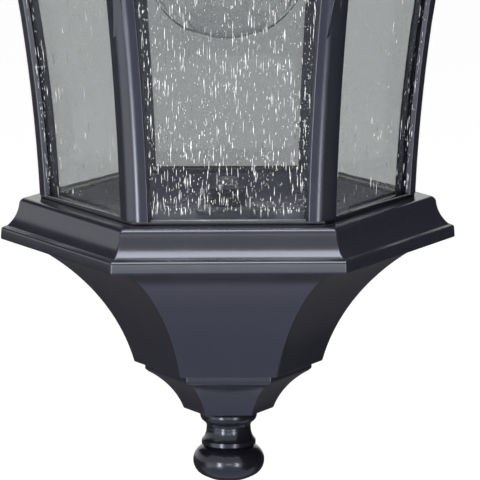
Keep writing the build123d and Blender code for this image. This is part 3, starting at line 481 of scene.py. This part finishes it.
panes = sorted(name for name in nodes if name.startswith("glass_"))
front_pane = min(panes, key=lambda pane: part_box(pane)[0].y)
rear_pane = max(panes, key=lambda pane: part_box(pane)[1].y)


def pane_frame(pane):
    """Outward direction of a pane, level with the ground, and the direction along it."""
    low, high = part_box(pane)
    middle = (low + high) / 2 - AXIS
    out = Vector((middle.x, middle.y, 0)).normalized()
    return out, UP.cross(out)


def skin_points(pane, out, levels):
    """Point of the pane's outer skin on its middle line and the skin's direction, at each level."""
    glass = bmesh.new()
    glass.from_mesh(nodes[pane].data)
    tree = BVHTree.FromBMesh(glass)
    glass.free()
    far = AXIS + out
    return [tree.ray_cast(far + UP * level, -out)[:2] for level in levels]


def half_width(point, out):
    """Half the width of a pane at the level of a point on its middle line."""
    return (point - AXIS).dot(out) * tan(SIXTH / 2) - POST_HALF


def moved_over(batch, shape):
    """Adds a small bmesh to a large one and empties it; small ones are quicker to add to."""
    mesh = bpy.data.meshes.new("batch")
    batch.to_mesh(mesh)
    batch.clear()
    shape.from_mesh(mesh)
    bpy.data.meshes.remove(mesh)


def seeds_in(pane, spread, crowd, draw):
    """One mesh of all the seeds in a pane's outer skin, each drawn out along its flare."""
    low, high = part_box(pane)
    out, along = pane_frame(pane)
    shortest, longest = SEED_LENGTHS
    slender, swollen = SEED_SWELLING
    lowest = low.z + longest / 2
    rise = high.z - low.z - longest
    levels = [lowest + rise * draw.random() ** (SEED_SINKING if made < spread else 1.0)
              for made in range(spread + 2 * crowd)]
    shape, batch = bmesh.new(), bmesh.new()
    for made, (point, facing) in enumerate(skin_points(pane, out, levels)):
        half = half_width(point, out) - SEED_MARGIN
        if made < spread:
            aside = draw.uniform(-half, half)
            growth = draw.random() ** SEED_SHORTNESS
        else:
            aside = (half - EDGE_CROWD * draw.random() ** EDGE_CROWDING) * (-1) ** made
            growth = draw.random() ** EDGE_SHORTNESS
        length = shortest + (longest - shortest) * growth
        width = draw.uniform(*SEED_WIDTHS) * (slender + (swollen - slender) * growth)
        lean = draw.gauss(0, SEED_LEAN)
        spot = point + along * aside
        if made < spread and noise(spot / SEED_GROUP) < draw.uniform(*SEED_SPARING):
            continue
        upward = (UP - facing * UP.dot(facing)).normalized()
        turn = Matrix((upward.cross(facing), facing, upward)).transposed().to_4x4()
        size = Matrix.Diagonal((width / 2, width / 2 * SEED_FLATNESS, length / 2, 1))
        matrix = Matrix.Translation(spot) @ turn @ Matrix.Rotation(lean, 4, "Y") @ size
        bmesh.ops.create_icosphere(batch, subdivisions=1, radius=1.0, matrix=matrix)
        if made % SEED_BATCH == 0:
            moved_over(batch, shape)
    moved_over(batch, shape)
    batch.free()
    return shape


draw = Random(20)
for pane in panes:
    side = {front_pane: "front", rear_pane: "rear"}.get(pane, "side")
    shape = seeds_in(pane, SEEDS[side], EDGE_SEEDS[side], draw)
    finished(pane.replace("glass", "seeds"), shape, seed_painted_glint, "cage")


# A bead of clear sealant along the foot of each pane, on the rail
BEAD = 0.5 * MM
BEAD_ROUND = BEAD / 3

rail_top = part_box("bottom_rail")[1].z
for pane in panes:
    out, along = pane_frame(pane)
    [(point, facing)] = skin_points(pane, out, [rail_top + BEAD])
    turn = Matrix((along, out, UP)).transposed().to_4x4()
    size = Matrix.Diagonal((2 * half_width(point, out), BEAD, BEAD, 1))
    spot = Vector((point.x, point.y, rail_top + BEAD / 2)) + out * BEAD / 2
    shape = bmesh.new()
    bmesh.ops.create_cube(shape, size=1.0, matrix=Matrix.Translation(spot) @ turn @ size)
    edges = [edge for edge in shape.edges if edge.calc_length() > 2 * BEAD]
    bmesh.ops.bevel(shape, geom=edges, offset=BEAD_ROUND, offset_type="OFFSET", segments=3,
                    profile=0.5, affect="EDGES", clamp_overlap=True, material=-1)
    finished(pane.replace("glass", "sealant"), shape, sealant_finish, "cage")


# The tie rod with its thread, cut to the CAD rod's outside
THREAD_PITCH = 1.25 * MM
THREAD_DEPTH = 0.5 * MM
THREAD_FLANK = 0.6 * MM       # from the crest to each foot of the thread, along the rod
THREAD_SINK = 0.1 * MM        # depth of the feet inside the core
THREAD_INSET = 0.75 * MM      # first crest from the rod's end
THREAD_STEPS = 20             # round one turn

low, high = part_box("tie_rod")
rod_length = high.z - low.z
crest = (high.x - low.x) / 2
core = crest - THREAD_DEPTH
shape = bmesh.new()
middle = Matrix.Translation((AXIS.x, AXIS.y, (low.z + high.z) / 2))
bmesh.ops.create_cone(shape, cap_ends=True, segments=THREAD_STEPS, radius1=core, radius2=core,
                      depth=rod_length, matrix=middle)
turns = int(rod_length / THREAD_PITCH) - 1
start = AXIS + UP * (low.z + THREAD_INSET)
section = [start + Vector((crest, 0, 0)),
           start + Vector((core - THREAD_SINK, 0, THREAD_FLANK)),
           start + Vector((core - THREAD_SINK, 0, -THREAD_FLANK))]
end = shape.faces.new([shape.verts.new(point) for point in section])
spun = bmesh.ops.spin(shape, geom=list(end.edges), cent=AXIS, axis=UP, angle=2 * pi * turns,
                      dvec=UP * THREAD_PITCH / THREAD_STEPS, steps=turns * THREAD_STEPS,
                      use_duplicate=False)
shape.faces.new([part for part in spun["geom_last"] if isinstance(part, bmesh.types.BMVert)])
bmesh.ops.recalc_face_normals(shape, faces=shape.faces)
creased(shape)
stand_in("threaded_tie_rod", "tie_rod", shape)


# ---- Studio -------------------------------------------------------------------------------------

FLOOR_DROP = 0.65             # below the lowest point of the lantern
FLOOR_SIZE = 40.0
FLOOR_SHADE = 0.86
FLOOR_LIFT = 0.54             # light of its own, where it is seen directly
WORLD_LIGHT = 0.5


def seen_directly(finish):
    """1 for rays from the camera, from a reflection or through glass."""
    camera, glossy, through = [
        finish.node("ShaderNodeLightPath", {}, {}, name)
        for name in ("Is Camera Ray", "Is Glossy Ray", "Is Transmission Ray")]
    settings = {"operation": "ADD", "use_clamp": True}
    return finish.node("ShaderNodeMath", settings, {0: camera + glossy, 1: through})


def card(name, middle, across, up):
    """Flat rectangle, from its middle and two half sides."""
    shape = bmesh.new()
    matrix = Matrix((across, up, across.cross(up).normalized())).transposed().to_4x4()
    matrix.translation = middle
    bmesh.ops.create_grid(shape, x_segments=1, y_segments=1, size=1.0, matrix=matrix)
    piece = linked(name, meshed(name, shape))
    return piece


cage_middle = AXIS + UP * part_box("base_moulding")[1].z
floor_level = cad_box[0][2] - FLOOR_DROP
floor = card("floor", Vector((AXIS.x, AXIS.y, floor_level)), Vector((FLOOR_SIZE / 2, 0, 0)),
             Vector((0, FLOOR_SIZE / 2, 0)))
pale = material("pale_floor")
matt = pale.node("ShaderNodeBsdfDiffuse", {}, {"Color": grey(FLOOR_SHADE)})
lift = pale.node("ShaderNodeEmission", {}, {
    "Color": WHITE, "Strength": seen_directly(pale) * FLOOR_LIFT})
floor.data.materials.append(pale.done(pale.node("ShaderNodeAddShader", {}, {0: matt, 1: lift})))

# Flags: colour, middle from the cage's foot, and two half sides.  Only reflections see them.
for name, colour, middle, across, up in (
        ("right_flag", grey(0.03), (0.62, 0.35, 0.30), (0, 1.05, 0), (0, 0, 1.15)),
        ("left_flag", grey(0.10), (-0.75, 0.65, -0.44), (0, 0.75, 0), (0, 0, 0.34)),
        ("high_left_flag", grey(0.03), (-0.75, 0.65, 0.95), (0, 0.75, 0), (0, 0, 0.68)),
        ("low_rear_flag", grey(0.08), (0, 0.74, -0.54), (1.6, 0, 0), (0, 0.59, 0.30)),
        ("under_flag", (0.54, 0.56, 0.68, 1), (0, 0.04, -0.44), (1.1, 0, 0), (0, 0.11, 0.02)),
        ("low_front_flag", (0.62, 0.65, 0.84, 1), (0, -0.935, -0.585), (1.1, 0, 0),
         (0, -0.865, 0.135))):
    flag = card(name, cage_middle + Vector(middle), Vector(across), Vector(up))
    cloth = material(name)
    flag.data.materials.append(cloth.done(cloth.node("ShaderNodeEmission", {}, {"Color": colour})))
    flag.visible_camera = False
    flag.visible_transmission = False
    flag.visible_diffuse = False
    flag.visible_shadow = False

world = Finish(bpy.data.worlds.new("studio"))
direct = seen_directly(world)
strength = direct + (1 - direct) * WORLD_LIGHT
sky = world.node("ShaderNodeBackground", {}, {"Color": WHITE, "Strength": strength})
bpy.context.scene.world = world.done(sky, "ShaderNodeOutputWorld")

# Softboxes, turned towards the cage's foot: place from it, width, height and watts
for name, place, width, height, watts in (
        ("overhead", (0, -0.45, 1.12), 1.3, 0.8, 31.0),
        ("left_strip", (-0.85, -1.47, -0.35), 0.22, 1.1, 20.0),
        ("right_strip", (0.75, -1.52, -0.35), 0.25, 1.1, 13.0),
        ("front_low", (0, -1.8, -0.045), 0.6, 0.35, 2.2),
        ("left_low", (-1.3, -0.70, -0.40), 0.7, 0.9, 2.0),
        ("right_low", (1.3, -0.70, -0.40), 0.7, 0.9, 3.5)):
    light = bpy.data.lights.new(name, "AREA")
    light.shape = "RECTANGLE"
    light.size = width
    light.size_y = height
    light.energy = watts
    softbox = linked(name, light)
    softbox.location = cage_middle + Vector(place)
    softbox.rotation_euler = (-Vector(place)).to_track_quat("-Z", "Y").to_euler()


# ---- Camera -------------------------------------------------------------------------------------

VIEW_DISTANCE = 1.8229
VIEW_ELEVATION = radians(10.36)
VIEW_TURN = radians(-0.35)    # about the lantern's axis
VIEW_ROLL = radians(-0.21)
VIEW_SIDE = 4.5 * MM          # aim beside the axis
VIEW_LEVEL = 16.4 * MM        # aim below the base moulding's ledge
LENS = 368.5                  # mm
SENSOR = 36                   # mm

turn = Matrix.Rotation(VIEW_TURN, 3, "Z")
aim = cage_middle + turn @ Vector((VIEW_SIDE, 0, 0)) - UP * VIEW_LEVEL
away = turn @ Vector((0, -cos(VIEW_ELEVATION), sin(VIEW_ELEVATION)))
side = turn @ Vector((1, 0, 0))
top = away.cross(side)
right = side * cos(VIEW_ROLL) + top * sin(VIEW_ROLL)
up = top * cos(VIEW_ROLL) - side * sin(VIEW_ROLL)

lens = bpy.data.cameras.new("camera")
lens.lens = LENS
lens.sensor_width = SENSOR
camera = linked("camera", lens)
camera.matrix_world = Matrix((right, up, away)).transposed().to_4x4()
camera.location = aim + away * VIEW_DISTANCE
bpy.context.scene.camera = camera
bpy.context.scene.view_settings.view_transform = "Standard"
